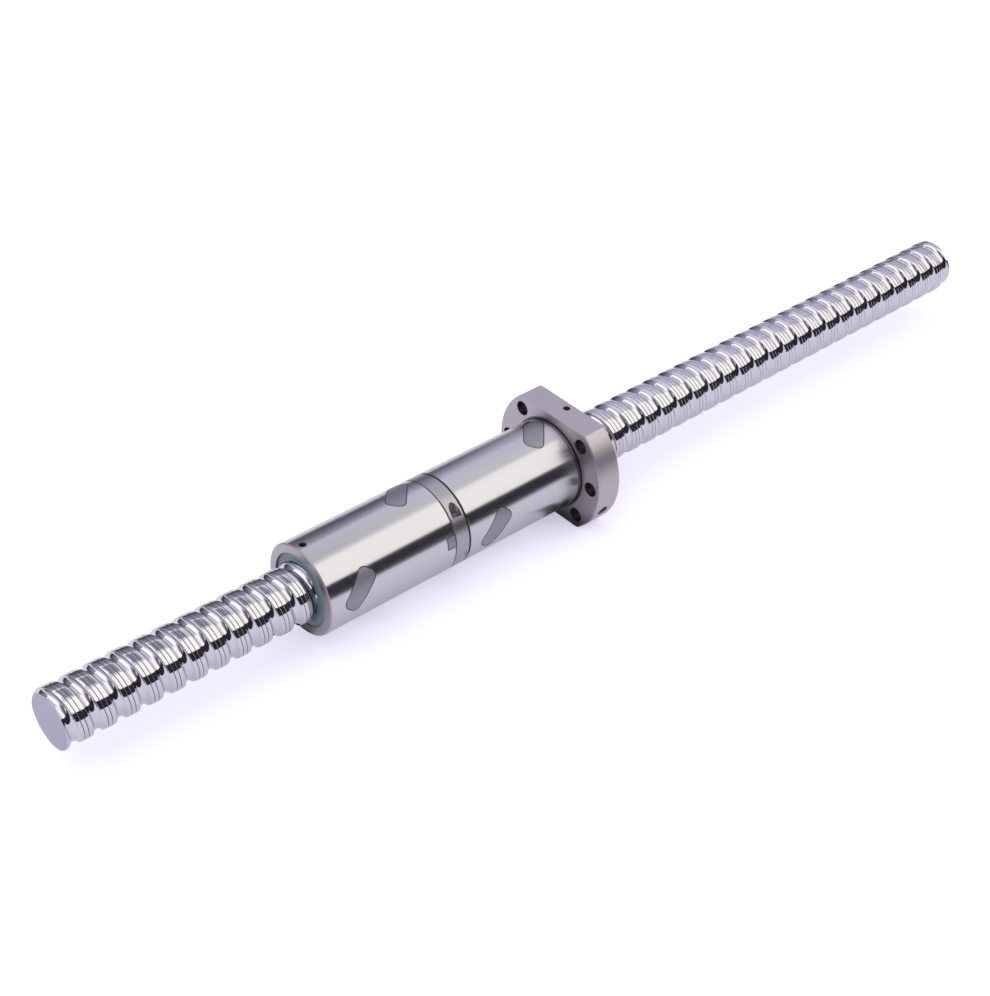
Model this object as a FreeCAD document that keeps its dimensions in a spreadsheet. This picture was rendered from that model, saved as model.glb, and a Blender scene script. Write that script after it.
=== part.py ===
"""Preloaded double-nut ball screw, built from one sheet of driving sizes.

Frame: X runs along the screw, from its near end to the flange's back.
The origin is on the axis in the flange's seat face, and Z points at the upper flat.
Angles about the screw are counted from Z, positive by the right hand about X.
All sizes are in millimetres and degrees.
"""
import FreeCAD, Part
import math
import os
import Sketcher

V = FreeCAD.Vector
AXIS = V(1, 0, 0)

doc = FreeCAD.newDocument("BallScrew")

# Driving sizes
SIZES = [
    ("screw_length", 505.2, "threaded rod from end to end"),
    ("near_overhang", 113.2, "rod standing out of the plain nut"),
    ("land_diameter", 24.8, "outside of the thread"),
    ("lead", 10, "travel for one turn, right-hand"),
    ("ball_diameter", 4.762, "3/16 inch balls"),
    ("ball_circle", 26.6, "circle through the ball centres"),
    ("running_gap", 0.3, "between a ball and its tracks"),
    ("ball_spacing", 0.2, "between one ball and the next"),
    ("gothic_offset", 0.15, "shift of each flank arc from the groove's middle"),
    ("nut_diameter", 40, "both nut barrels"),
    ("plain_nut_length", 63.5, ""),
    ("spacer_width", 7.8, ""),
    ("flange_nut_length", 73.7, "barrel and flange"),
    ("flange_diameter", 62, ""),
    ("flange_thickness", 12, ""),
    ("flange_flats", 48, "across the two flats"),
    ("bolt_circle", 51, ""),
    ("bolt_hole", 6.6, "clearance for M6"),
    ("bolt_angle", 45, "between neighbouring holes"),
    ("edge_chamfer", 0.5, "outer edges of the nuts and flange"),
    ("joint_chamfer", 0.3, "edges where the ring meets the nuts"),
    ("near_joint", 0.2, "open line between the plain nut and the ring"),
    ("far_joint", 0.5, "open line between the ring and the flange nut"),
    ("joint_depth", 1.4, "depth of those lines"),
    ("relief_width", 1.8, "groove in the barrel beside the flange"),
    ("relief_depth", 0.4, "of that groove, and of the one in the flange's face"),
    ("face_relief", 0.8, "groove in the flange's face, out from the barrel"),
    ("circuit_turns", 1.25, "turns of thread from one circuit to the next"),
    ("cap_inset", 15.1, "first cap's middle from the nut's end"),
    ("cap_margin", 9.5, "least room from the last cap's middle to the barrel's other end"),
    ("land_offset", -0.75, "middle of the land from the middle of the cap over it"),
    ("plain_cap_angle", 76, "first cap of the plain nut"),
    ("flange_cap_angle", 90, "first cap of the flange nut"),
    ("cap_length", 17.6, ""),
    ("cap_width", 8.2, ""),
    ("cap_corner", 2.8, ""),
    ("cap_slant", 47.5, "from the screw's axis"),
    ("cap_gap", 0.25, "between a cap and its window"),
    ("channel_wall", 0.8, "cap metal beyond each end of the ball channel"),
    ("wiper_recess", 1, "wiper face below the nut's face"),
    ("wiper_width", 4.4, ""),
    ("wiper_diameter", 32.2, ""),
    ("wiper_lip", 1.4, "width of the lip at the screw"),
    ("wiper_bevel", 1.2, "slope behind the lip"),
    ("fit_gap", 0.05, "between pieces that sit in one another"),
    ("grub_diameter", 3, "wiper grub screws"),
    ("grub_length", 2.6, ""),
    ("grub_socket", 1.5, "hexagon across flats"),
    ("grub_socket_depth", 1.3, ""),
    ("grub_inset", 3.4, "grub screw from the nut's end face"),
    ("front_grub_angle", -6, ""),
    ("rear_grub_angle", 0, ""),
    ("oil_hole", 5, "core of the M6 oil port"),
    ("oil_depth", 9, "threaded part of the oil port"),
    ("oil_passage", 2.5, "drilling from the port to the balls"),
    ("oil_inset", 5.2, "oil port from the flange's seat face"),
    ("oil_angle", 112.5, "midway between two bolt holes"),
    ("key_angle", 77, "key of the plain nut; the other is opposite"),
    ("key_width", 5.2, ""),
    ("key_length", 4, "part of the key in its nut"),
    ("key_floor", 16.6, "key's underside from the axis"),
    ("tongue_top", 18.4, "top of the key's tongue from the axis"),
    ("tongue_length", 3, "part of the key in the ring"),
    ("notch_width", 4.7, "hook-spanner notches in the ring"),
    ("notch_offset", 25, "notch's end wall from the key"),
    ("notch_sweep", 19, "notch's length as an angle"),
    ("notch_slope", 22, "notch's floor against the chord"),
]

sheet = doc.addObject("Spreadsheet::Sheet", "Sizes")
for row, (alias, number, note) in enumerate(SIZES, start=1):
    sheet.set("A%d" % row, alias)
    sheet.set("B%d" % row, str(number))
    sheet.set("C%d" % row, note)
    sheet.setAlias("B%d" % row, alias)
doc.recompute()


def size(formula):
    """Number that a formula of the sheet's names gives now."""
    return float(sheet.evalExpression(formula))


def bound(formula):
    """The same formula with each sheet name written as an outside object sees it."""
    text = ""
    word = ""
    for letter in formula + " ":
        if letter.isalnum() or letter == "_":
            word += letter
            continue
        text += ("Sizes." + word if word in NAMES else word) + letter
        word = ""
    return text.strip()


NAMES = {alias for alias, number, note in SIZES}

# Stations along the screw, written once and used in every placement below
FLANGE_NUT_X = "-(flange_nut_length - flange_thickness)"
SPACER_X = FLANGE_NUT_X + " - spacer_width"
PLAIN_NUT_X = SPACER_X + " - plain_nut_length"
SCREW_X = PLAIN_NUT_X + " - near_overhang"
RACE = "ball_circle / 2 + ball_diameter / 2 + running_gap"
SEAT = "wiper_diameter / 2 + fit_gap"
SEAT_DEPTH = "wiper_recess + wiper_width"

lead = size("lead")
land_radius = size("land_diameter / 2")
ball_path_radius = size("ball_circle / 2")
first_cap_x = size(PLAIN_NUT_X + " + cap_inset")


def groove_x(angle):
    """Place of the groove's middle at an angle, half a lead from the first cap's land."""
    turned = (angle - size("plain_cap_angle")) / 360
    return first_cap_x + size("land_offset") - lead / 2 + lead * turned


# Bodies, sketches and features
def make_body(label):
    """Empty body with its label."""
    body = doc.addObject("PartDesign::Body", label)
    body.Label = label
    return body


def place(item, x, angle=None):
    """Bind a finished object's place along the screw, and its turn about it."""
    item.setExpression("Placement.Base.x", bound(x))
    if angle is not None:
        item.Placement.Rotation = FreeCAD.Rotation(AXIS, 1)
        item.setExpression("Placement.Rotation.Angle", "(%s) * 1 deg" % bound(angle))


def make_sketch(body, name, role, offset=None):
    """Sketch on one of the body's planes, moved by a placement in that plane's frame."""
    sketch = body.newObject("Sketcher::SketchObject", name)
    plane = [item for item in body.Origin.OriginFeatures if item.Role == role]
    sketch.AttachmentSupport = [(plane[0], "")]
    sketch.MapMode = "FlatFace"
    if offset is not None:
        sketch.AttachmentOffset = offset
    return sketch


def constrain(sketch, kind, where, formula):
    """Add one dimension to a sketch and bind it to a formula of the sheet."""
    rule = Sketcher.Constraint(kind, *where, size(formula))
    sketch.setExpression("Constraints[%d]" % sketch.addConstraint(rule), bound(formula))


def pin_point(sketch, line, end, x, y):
    """Fix one end of a line by its two coordinates; "0" puts it on the axis."""
    for kind, formula, axis in (("DistanceX", x, -2), ("DistanceY", y, -1)):
        if formula == "0":
            sketch.addConstraint(Sketcher.Constraint("PointOnObject", line, end, axis))
        else:
            constrain(sketch, kind, (-1, 1, line, end), formula)


def polygon(sketch, corners):
    """Closed outline through corners that are given as pairs of formulas."""
    points = [V(size(x), size(y), 0) for x, y in corners]
    first = sketch.GeometryCount
    count = len(corners)
    for i in range(count):
        sketch.addGeometry(Part.LineSegment(points[i], points[(i + 1) % count]), False)
    for i in range(count):
        joined = Sketcher.Constraint("Coincident", first + i, 2, first + (i + 1) % count, 1)
        sketch.addConstraint(joined)
    for i, (x, y) in enumerate(corners):
        pin_point(sketch, first + i, 1, x, y)


def circle(sketch, x, y, diameter):
    """Circle with its centre and diameter given as formulas."""
    centre = V(size(x), size(y), 0)
    ring = sketch.addGeometry(Part.Circle(centre, V(0, 0, 1), size(diameter) / 2), False)
    pin_point(sketch, ring, 3, x, y)
    constrain(sketch, "Diameter", (ring,), diameter)


def rounded_rectangle(sketch, length, width, corner):
    """Rectangle about the sketch's origin with equal rounded corners."""
    radius = size(corner)
    half_x = size(length) / 2 - radius
    half_y = size(width) / 2 - radius
    up = V(0, 0, 1)
    for i, (sx, sy) in enumerate(((1, 1), (-1, 1), (-1, -1), (1, -1))):
        bend = Part.Circle(V(sx * half_x, sy * half_y, 0), up, radius)
        start = i * math.pi / 2
        sketch.addGeometry(Part.ArcOfCircle(bend, start, start + math.pi / 2), False)
    for i in range(4):
        here = sketch.getPoint(i, 2)
        there = sketch.getPoint((i + 1) % 4, 1)
        sketch.addGeometry(Part.LineSegment(here, there), False)
    for i in range(4):
        sketch.addConstraint(Sketcher.Constraint("Tangent", i, 2, 4 + i, 1))
        sketch.addConstraint(Sketcher.Constraint("Tangent", 4 + i, 2, (i + 1) % 4, 1))
    for i in range(1, 4):
        sketch.addConstraint(Sketcher.Constraint("Equal", 0, i))
    sketch.addConstraint(Sketcher.Constraint("Horizontal", 4))
    sketch.addConstraint(Sketcher.Constraint("Vertical", 5))
    sketch.addConstraint(Sketcher.Constraint("Symmetric", 0, 3, 2, 3, -1, 1))
    constrain(sketch, "Radius", (0,), corner)
    constrain(sketch, "DistanceX", (2, 3, 0, 3), "%s - 2 * (%s)" % (length, corner))
    constrain(sketch, "DistanceY", (2, 3, 0, 3), "%s - 2 * (%s)" % (width, corner))


def turn(body, name, corners):
    """Revolve a half section, given as (along, radius) corners, about the body's X axis."""
    sketch = make_sketch(body, name + "_section", "XZ_Plane")
    polygon(sketch, corners)
    feature = body.newObject("PartDesign::Revolution", name)
    feature.Profile = sketch
    feature.ReferenceAxis = (sketch, ["H_Axis"])
    feature.Angle = 360
    sketch.Visibility = False
    return feature


def turn_off(body, name, corners):
    """Cut away what a half section sweeps about the body's X axis."""
    sketch = make_sketch(body, name + "_section", "XZ_Plane")
    polygon(sketch, corners)
    feature = body.newObject("PartDesign::Groove", name)
    feature.Profile = sketch
    feature.ReferenceAxis = (sketch, ["H_Axis"])
    feature.Angle = 360
    sketch.Visibility = False


def pocket(body, sketch, depth=None, outwards=True):
    """Cut a sketch out of a body, through all or to a depth, along its normal."""
    feature = body.newObject("PartDesign::Pocket", sketch.Name + "_cut")
    feature.Profile = sketch
    feature.Reversed = outwards
    if depth is None:
        feature.Type = "ThroughAll"
    else:
        feature.Type = "Length"
        feature.setExpression("Length", bound(depth))
    sketch.Visibility = False
    return feature


def pad(body, sketch, height):
    """Raise a sketch into a solid of the given height."""
    feature = body.newObject("PartDesign::Pad", sketch.Name + "_pad")
    feature.Profile = sketch
    feature.setExpression("Length", bound(height))
    sketch.Visibility = False
    return feature


def radial_sketch(body, name, x, angle, radius="0", spin=None):
    """Sketch facing out from the axis: X along the screw, at a place, angle and radius."""
    roll = FreeCAD.Rotation(AXIS, size(angle))
    turned = roll
    if spin is not None:
        turned = roll.multiply(FreeCAD.Rotation(V(0, 0, 1), size(spin)))
    base = V(size(x), 0, 0) + roll.multVec(V(0, 0, size(radius)))
    return make_sketch(body, name, "XY_Plane", FreeCAD.Placement(base, turned))


# Nuts: half sections, then windows for the caps, holes and key slots
def cap_window(body, name, x, angle):
    """Opening in a nut's wall for one return cap."""
    sketch = radial_sketch(body, name, x, angle, spin="cap_slant")
    rounded_rectangle(
        sketch, "(cap_length + 2 * cap_gap)", "(cap_width + 2 * cap_gap)", "(cap_corner + cap_gap)"
    )
    pocket(body, sketch)


def radial_hole(body, name, x, angle, diameter, start="0", depth=None):
    """Round hole cut outwards from a radius."""
    sketch = radial_sketch(body, name, x, angle, start)
    circle(sketch, "0", "0", diameter)
    pocket(body, sketch, depth)


def key_slot(body, name, from_x, to_x, angle, start, depth=None):
    """Square slot for a key, cut outwards from a radius."""
    sketch = radial_sketch(body, name, "0", angle, start)
    half = "(key_width / 2 + fit_gap)"
    polygon(
        sketch,
        [(from_x, "-" + half), (to_x, "-" + half), (to_x, half), (from_x, half)],
    )
    pocket(body, sketch, depth)


def cap_stations(nut):
    """Place in the nut and angle of each cap, as formulas; all lie on lands of the thread.

    A barrel has as many circuits as its length has room for.
    """
    if nut == "plain":
        first_x = "cap_inset"
        first_angle = "plain_cap_angle"
        barrel = "plain_nut_length"
    else:
        turns = round(size("%s - (%s)" % (FLANGE_NUT_X, PLAIN_NUT_X)) / lead)
        first_x = "cap_inset + lead * (%d + (flange_cap_angle - plain_cap_angle) / 360)" % turns
        first_x += " - spacer_width - plain_nut_length"
        first_angle = "flange_cap_angle"
        barrel = "flange_nut_length - flange_thickness"
    room = size("(%s - cap_margin - (%s)) / (circuit_turns * lead)" % (barrel, first_x))
    stations = []
    for i in range(int(room) + 1):
        along = "%s + %d * circuit_turns * lead" % (first_x, i)
        around = "%s + %d * 360 * circuit_turns" % (first_angle, i)
        stations.append((along, around))
    return stations


plain_nut = make_body("plain_nut")
turn(plain_nut, "plain_nut_blank", [
    ("0", SEAT),
    ("0", "nut_diameter / 2 - edge_chamfer"),
    ("edge_chamfer", "nut_diameter / 2"),
    ("plain_nut_length - joint_chamfer", "nut_diameter / 2"),
    ("plain_nut_length", "nut_diameter / 2 - joint_chamfer"),
    ("plain_nut_length", RACE),
    (SEAT_DEPTH, RACE),
    (SEAT_DEPTH, SEAT),
])
for i, (along, around) in enumerate(cap_stations("plain"), start=1):
    cap_window(plain_nut, "plain_window_%d" % i, along, around)
radial_hole(
    plain_nut, "front_grub_hole", "grub_inset", "front_grub_angle", "grub_diameter + 2 * fit_gap"
)
key_slot(
    plain_nut, "plain_key_slot", "plain_nut_length - key_length - fit_gap",
    "plain_nut_length + 1", "key_angle", "key_floor - fit_gap",
)
place(plain_nut, PLAIN_NUT_X)

flange_nut = make_body("flange_nut")
SEAT_FACE = "flange_nut_length - flange_thickness"
turn(flange_nut, "flange_nut_blank", [
    ("0", RACE),
    ("0", "nut_diameter / 2 - joint_chamfer"),
    ("joint_chamfer", "nut_diameter / 2"),
    (SEAT_FACE + " - relief_width", "nut_diameter / 2"),
    (SEAT_FACE + " - relief_width", "nut_diameter / 2 - relief_depth"),
    (SEAT_FACE + " + relief_depth", "nut_diameter / 2 - relief_depth"),
    (SEAT_FACE + " + relief_depth", "nut_diameter / 2 + face_relief"),
    (SEAT_FACE, "nut_diameter / 2 + face_relief"),
    (SEAT_FACE, "flange_diameter / 2 - edge_chamfer"),
    (SEAT_FACE + " + edge_chamfer", "flange_diameter / 2"),
    ("flange_nut_length - edge_chamfer", "flange_diameter / 2"),
    ("flange_nut_length", "flange_diameter / 2 - edge_chamfer"),
    ("flange_nut_length", SEAT),
    ("flange_nut_length - (%s)" % SEAT_DEPTH, SEAT),
    ("flange_nut_length - (%s)" % SEAT_DEPTH, RACE),
])
for side in (1, -1):
    flat = make_sketch(flange_nut, "flat_%s" % ("upper" if side > 0 else "lower"), "YZ_Plane")
    low = "%d * flange_flats / 2" % side
    high = "%d * (flange_diameter / 2 + 1)" % side
    wide = "(flange_diameter / 2 + 1)"
    polygon(flat, [("-" + wide, low), (wide, low), (wide, high), ("-" + wide, high)])
    pocket(flange_nut, flat)
bolts = make_sketch(flange_nut, "bolt_holes", "YZ_Plane")
for i in (1, 2, 3):
    for side in (1, -1):
        around = "(%d * %d * bolt_angle * 1 deg)" % (side, i)
        circle(
            bolts, "-bolt_circle / 2 * sin%s" % around, "bolt_circle / 2 * cos%s" % around,
            "bolt_hole",
        )
pocket(flange_nut, bolts)
for i, (along, around) in enumerate(cap_stations("flange"), start=1):
    cap_window(flange_nut, "flange_window_%d" % i, along, around)
radial_hole(
    flange_nut, "rear_grub_hole", "flange_nut_length - grub_inset", "rear_grub_angle",
    "grub_diameter + 2 * fit_gap",
)
radial_hole(
    flange_nut, "oil_port", SEAT_FACE + " + oil_inset", "oil_angle", "oil_hole",
    "flange_diameter / 2 - oil_depth",
)
radial_hole(
    flange_nut, "oil_drilling", SEAT_FACE + " + oil_inset", "oil_angle", "oil_passage"
)
key_slot(
    flange_nut, "flange_key_slot", "-1", "key_length + fit_gap", "key_angle + 180",
    "key_floor - fit_gap",
)
place(flange_nut, FLANGE_NUT_X)

# Spacer ring with its hook-spanner notches and inner key slots
spacer_ring = make_body("spacer_ring")
turn(spacer_ring, "spacer_blank", [
    ("0", RACE),
    ("0", "nut_diameter / 2 - joint_depth"),
    ("near_joint", "nut_diameter / 2 - joint_depth"),
    ("near_joint", "nut_diameter / 2 - joint_chamfer"),
    ("near_joint + joint_chamfer", "nut_diameter / 2"),
    ("spacer_width - far_joint - joint_chamfer", "nut_diameter / 2"),
    ("spacer_width - far_joint", "nut_diameter / 2 - joint_chamfer"),
    ("spacer_width - far_joint", "nut_diameter / 2 - joint_depth"),
    ("spacer_width", "nut_diameter / 2 - joint_depth"),
    ("spacer_width", RACE),
])


def spanner_notch(name, side):
    """Half-round notch that slopes down to an end wall facing away from the key."""
    wall_angle = math.radians(size("key_angle") + side * size("notch_offset"))
    sweep = math.radians(size("notch_sweep")) * side
    slope = math.radians(size("notch_slope"))
    radius = size("nut_diameter / 2")
    wall = V(0, -math.sin(wall_angle), math.cos(wall_angle)) * radius
    tip_angle = wall_angle + sweep
    tip = V(0, -math.sin(tip_angle), math.cos(tip_angle)) * radius
    chord = (tip - wall)
    run = FreeCAD.Rotation(AXIS, -side * math.degrees(slope)).multVec(chord)
    run.normalize()
    across = AXIS * side
    up = run.cross(across)
    wall_depth = chord.Length * math.sin(slope)
    frame = FreeCAD.Rotation(across, up, run, "ZXY")
    base = wall + V(size("spacer_width / 2"), 0, 0)
    sketch = make_sketch(spacer_ring, name, "XY_Plane", FreeCAD.Placement(base, frame))
    half = size("notch_width / 2")
    middle = half - wall_depth
    bend = Part.Circle(V(0, middle, 0), V(0, 0, 1), half)
    sketch.addGeometry(Part.ArcOfCircle(bend, math.pi, 2 * math.pi), False)
    rim = middle + 2 * half
    sketch.addGeometry(Part.LineSegment(V(half, middle, 0), V(half, rim, 0)), False)
    sketch.addGeometry(Part.LineSegment(V(half, rim, 0), V(-half, rim, 0)), False)
    sketch.addGeometry(Part.LineSegment(V(-half, rim, 0), V(-half, middle, 0)), False)
    sketch.addConstraint(Sketcher.Constraint("Tangent", 0, 2, 1, 1))
    sketch.addConstraint(Sketcher.Constraint("Coincident", 1, 2, 2, 1))
    sketch.addConstraint(Sketcher.Constraint("Coincident", 2, 2, 3, 1))
    sketch.addConstraint(Sketcher.Constraint("Tangent", 3, 2, 0, 1))
    sketch.addConstraint(Sketcher.Constraint("Vertical", 1))
    sketch.addConstraint(Sketcher.Constraint("Horizontal", 2))
    sketch.addConstraint(Sketcher.Constraint("PointOnObject", 0, 3, -2))
    constrain(sketch, "Radius", (0,), "notch_width / 2")
    sketch.addConstraint(Sketcher.Constraint("DistanceY", -1, 1, 0, 3, middle))
    sketch.addConstraint(Sketcher.Constraint("DistanceY", 0, 3, 1, 2, 2 * half))
    pocket(spacer_ring, sketch, "nut_diameter / 2")


spanner_notch("upper_notch", -1)
spanner_notch("lower_notch", 1)
TONGUE_RISE = "tongue_top + fit_gap - %s" % "(key_floor - 1)"
key_slot(
    spacer_ring, "near_tongue_slot", "-1", "tongue_length + fit_gap", "key_angle",
    "key_floor - 1", TONGUE_RISE,
)
key_slot(
    spacer_ring, "far_tongue_slot", "spacer_width - tongue_length - fit_gap", "spacer_width + 1",
    "key_angle + 180", "key_floor - 1", TONGUE_RISE,
)
place(spacer_ring, SPACER_X)


# Keys: a block in the nut and a lower tongue in the ring
def make_key(label, mirrored, x, angle):
    """Stepped key, drawn with the joint between nut and ring at its origin."""
    body = make_body(label)
    side = "-" if mirrored else ""
    back = "" if mirrored else "-"
    section = make_sketch(body, label + "_side", "XZ_Plane")
    polygon(section, [
        (back + "key_length", "key_floor"),
        (back + "key_length", "nut_diameter / 2 + 1"),
        ("0", "nut_diameter / 2 + 1"),
        ("0", "tongue_top"),
        (side + "tongue_length", "tongue_top"),
        (side + "tongue_length", "key_floor"),
    ])
    block = pad(body, section, "key_width")
    block.SideType = "Symmetric"
    turn_off(body, label + "_crown", [
        ("-3 * key_length", "nut_diameter / 2"),
        ("3 * key_length", "nut_diameter / 2"),
        ("3 * key_length", "nut_diameter / 2 + 4"),
        ("-3 * key_length", "nut_diameter / 2 + 4"),
    ])
    place(body, x, angle)
    return body


plain_nut_key = make_key("plain_nut_key", False, SPACER_X, "key_angle")
flange_nut_key = make_key("flange_nut_key", True, FLANGE_NUT_X, "key_angle + 180")

# Return caps: a rounded block, turned to the barrel and the race, with a ball channel
groove_radius = size("ball_diameter / 2 + running_gap")
half_groove = math.sqrt(groove_radius ** 2 - (ball_path_radius - land_radius) ** 2)
crossing_radius = land_radius + groove_radius


def make_cap(label, nut_x, along, around):
    """One return cap at its station in a nut."""
    body = make_body(label)
    spin = FreeCAD.Rotation(V(0, 0, 1), size("cap_slant"))
    flat = FreeCAD.Placement(V(0, 0, 0), spin)
    outline = make_sketch(body, label + "_outline", "XY_Plane", flat)
    rounded_rectangle(outline, "cap_length", "cap_width", "cap_corner")
    pad(body, outline, "nut_diameter / 2 + 1")
    turn_off(body, label + "_crown", [
        ("-cap_length", "nut_diameter / 2"),
        ("cap_length", "nut_diameter / 2"),
        ("cap_length", "nut_diameter / 2 + 4"),
        ("-cap_length", "nut_diameter / 2 + 4"),
    ])
    turn_off(body, label + "_race", [
        ("-cap_length", "0"),
        ("cap_length", "0"),
        ("cap_length", RACE),
        ("-cap_length", RACE),
    ])
    over_land = FreeCAD.Placement(V(size("land_offset"), 0, 0), spin)
    channel = make_sketch(body, label + "_channel", "XY_Plane", over_land)
    reach = "(cap_length - 2 * channel_wall)"
    width = "(ball_diameter + 2 * running_gap)"
    rounded_rectangle(channel, reach, width, "(ball_diameter / 2)")
    roof = "land_diameter / 2 + ball_diameter + 2 * running_gap"
    pocket(body, channel, roof)
    place(body, "%s + %s" % (nut_x, along), around)
    return body


caps = []
for nut, nut_x in (("plain", PLAIN_NUT_X), ("flange", FLANGE_NUT_X)):
    for i, (along, around) in enumerate(cap_stations(nut), start=1):
        caps.append(make_cap("%s_nut_cap_%d" % (nut, i), nut_x, along, around))


# Wipers and the grub screws that hold them
def make_wiper(label, x, flipped=False):
    """Wiper ring with a narrow lip at its outer face."""
    body = make_body(label)
    bore = "land_diameter / 2 + running_gap"
    turn(body, label + "_ring", [
        ("0", bore),
        ("0", "wiper_diameter / 2"),
        ("wiper_width", "wiper_diameter / 2"),
        ("wiper_width", bore + " + wiper_bevel"),
        ("wiper_lip + wiper_bevel", bore + " + wiper_bevel"),
        ("wiper_lip", bore),
    ])
    if flipped:
        body.Placement.Rotation = FreeCAD.Rotation(V(0, 0, 1), 180)
    place(body, x)
    return body


front_wiper = make_wiper("front_wiper", PLAIN_NUT_X + " + wiper_recess")
rear_wiper = make_wiper("rear_wiper", "flange_thickness - wiper_recess", flipped=True)


def make_grub(label, x, angle):
    """Socket grub screw standing on the wiper's rim."""
    body = make_body(label)
    seat = radial_sketch(body, label + "_outline", "0", "0", "wiper_diameter / 2 + fit_gap")
    circle(seat, "0", "0", "grub_diameter")
    pad(body, seat, "grub_length")
    top = "wiper_diameter / 2 + fit_gap + grub_length - grub_socket_depth"
    socket = radial_sketch(body, label + "_socket", "0", "0", top)
    reach = "grub_socket / 2 / cos(30 deg)"
    polygon(socket, [
        ("%s * cos(%d deg)" % (reach, 60 * i + 30), "%s * sin(%d deg)" % (reach, 60 * i + 30))
        for i in range(6)
    ])
    pocket(body, socket)
    place(body, x, angle)
    return body


front_grub = make_grub(
    "front_wiper_screw", PLAIN_NUT_X + " + grub_inset", "front_grub_angle"
)
rear_grub = make_grub("rear_wiper_screw", "flange_thickness - grub_inset", "rear_grub_angle")


# Screw: a profile from groove to groove, swept one turn at a time and trimmed flat at both ends
def thread_profile():
    """Half section from one groove's floor to the next one's: a flank, the land, a flank."""
    offset = size("gothic_offset")
    centre_radius = ball_path_radius + offset
    flank_radius = groove_radius + offset * math.sqrt(2)
    edge = math.sqrt(flank_radius ** 2 - (centre_radius - land_radius) ** 2) - offset

    def flank(groove, side):
        """Arc from a groove's floor up to the land, on one side of the groove."""
        points = []
        for x in (0, edge / 2, edge):
            radius = centre_radius - math.sqrt(flank_radius ** 2 - (x + offset) ** 2)
            points.append(V(groove + side * x, 0, radius))
        return Part.Arc(*points).toShape()

    land = Part.makeLine(V(edge, 0, land_radius), V(lead - edge, 0, land_radius))
    return Part.Wire([flank(0, 1), land, flank(lead, -1)])


def one_turn(profile):
    """Skin that the profile leaves on its way round the axis, one lead further along X."""
    helix = Part.makeHelix(lead, lead, land_radius)
    helix.rotate(V(0, 0, 0), V(0, 1, 0), 90)
    helix.rotate(V(0, 0, 0), AXIS, 180)
    sweep = Part.BRepOffsetAPI.MakePipeShell(Part.Wire(helix.Edges))
    sweep.setBiNormalMode(AXIS)
    sweep.add(profile)
    sweep.build()
    return sweep.shape()


def threaded_rod():
    """Solid of the whole thread, with its groove in step with the caps."""
    length = size("screw_length")
    first = (groove_x(0) - size(SCREW_X)) % lead
    turn_skin = one_turn(thread_profile())
    faces = []
    for i in range(-2, int(length / lead) + 1):
        faces += turn_skin.translated(AXIS * (first + i * lead)).Faces
    skin = Part.makeShell(faces)
    skin.sewShape(0.001)
    skin = skin.common(Part.makeCylinder(2 * land_radius, length, V(0, 0, 0), AXIS))
    faces = skin.Faces
    for x in (0, length):
        rim = []
        for edge in skin.Edges:
            if max(abs(edge.BoundBox.XMin - x), abs(edge.BoundBox.XMax - x)) < 0.001:
                rim.append(edge)
        faces.append(Part.Face(Part.Wire(Part.__sortEdges__(rim))))
    shell = Part.makeShell(faces)
    shell.sewShape(0.001)
    return Part.makeSolid(shell)


screw_shaft = doc.addObject("Part::Feature", "screw_shaft")
screw_shaft.Label = "screw_shaft"
screw_shaft.Shape = threaded_rod()
place(screw_shaft, SCREW_X)


# Balls: each circuit is one turn of the groove and a short way back over the land
def circuit_path(land_x, cap_angle):
    """Points along one closed ball path about a land, as (angle, place, radius)."""
    slant = math.tan(math.radians(size("cap_slant")))
    half_return = slant * lead / 2 / (crossing_radius + slant * lead / (2 * math.pi))
    loaded_from = math.degrees(half_return)
    path = []
    for i in range(361):
        along = loaded_from + (360 - 2 * loaded_from) * i / 360
        path.append((cap_angle + along, land_x - lead / 2 + lead * along / 360, ball_path_radius))
    end_x = lead / 2 - lead * loaded_from / 360
    for i in range(1, 60):
        part = 2 * i / 60 - 1
        x = -end_x * part
        around = loaded_from * part
        nearest = lead / 2 - abs(x) - lead * abs(around) / 360
        dip = max(0, half_groove - nearest)
        radius = land_radius + math.sqrt(groove_radius ** 2 - min(dip, groove_radius) ** 2)
        path.append((cap_angle + around, land_x + x, max(radius, ball_path_radius)))
    return path


def ball_centres(land_x, cap_angle):
    """Ball centres spaced evenly along one circuit."""
    points = []
    for around, x, radius in circuit_path(land_x, cap_angle):
        angle = math.radians(around)
        points.append(V(x, -radius * math.sin(angle), radius * math.cos(angle)))
    points.append(points[0])
    lengths = [0.0]
    for one, two in zip(points, points[1:]):
        lengths.append(lengths[-1] + one.distanceToPoint(two))
    count = int(lengths[-1] / size("ball_diameter + ball_spacing"))
    centres = []
    k = 0
    for i in range(count):
        wanted = lengths[-1] * (i + 0.5) / count
        while lengths[k + 1] < wanted:
            k += 1
        part = (wanted - lengths[k]) / (lengths[k + 1] - lengths[k])
        centres.append(points[k] + (points[k + 1] - points[k]) * part)
    return centres


circuits = []
for nut, nut_x in (("plain", PLAIN_NUT_X), ("flange", FLANGE_NUT_X)):
    for along, around in cap_stations(nut):
        label = "ball_circuit_%d" % (len(circuits) + 1)
        balls = []
        land_x = size("%s + %s + land_offset" % (nut_x, along))
        for i, centre in enumerate(ball_centres(land_x, size(around))):
            ball = doc.addObject("Part::Sphere", "%s_ball_%d" % (label, i + 1))
            ball.setExpression("Radius", bound("ball_diameter / 2"))
            ball.Placement.Base = centre
            balls.append(ball)
        group = doc.addObject("Part::Compound", label)
        group.Label = label
        group.Links = balls
        circuits.append(group)

doc.recompute()

# Check every object, then write one file for each piece
nodes = [screw_shaft, flange_nut, plain_nut, spacer_ring, plain_nut_key, flange_nut_key]
nodes += caps + [front_wiper, rear_wiper, front_grub, rear_grub] + circuits

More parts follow.
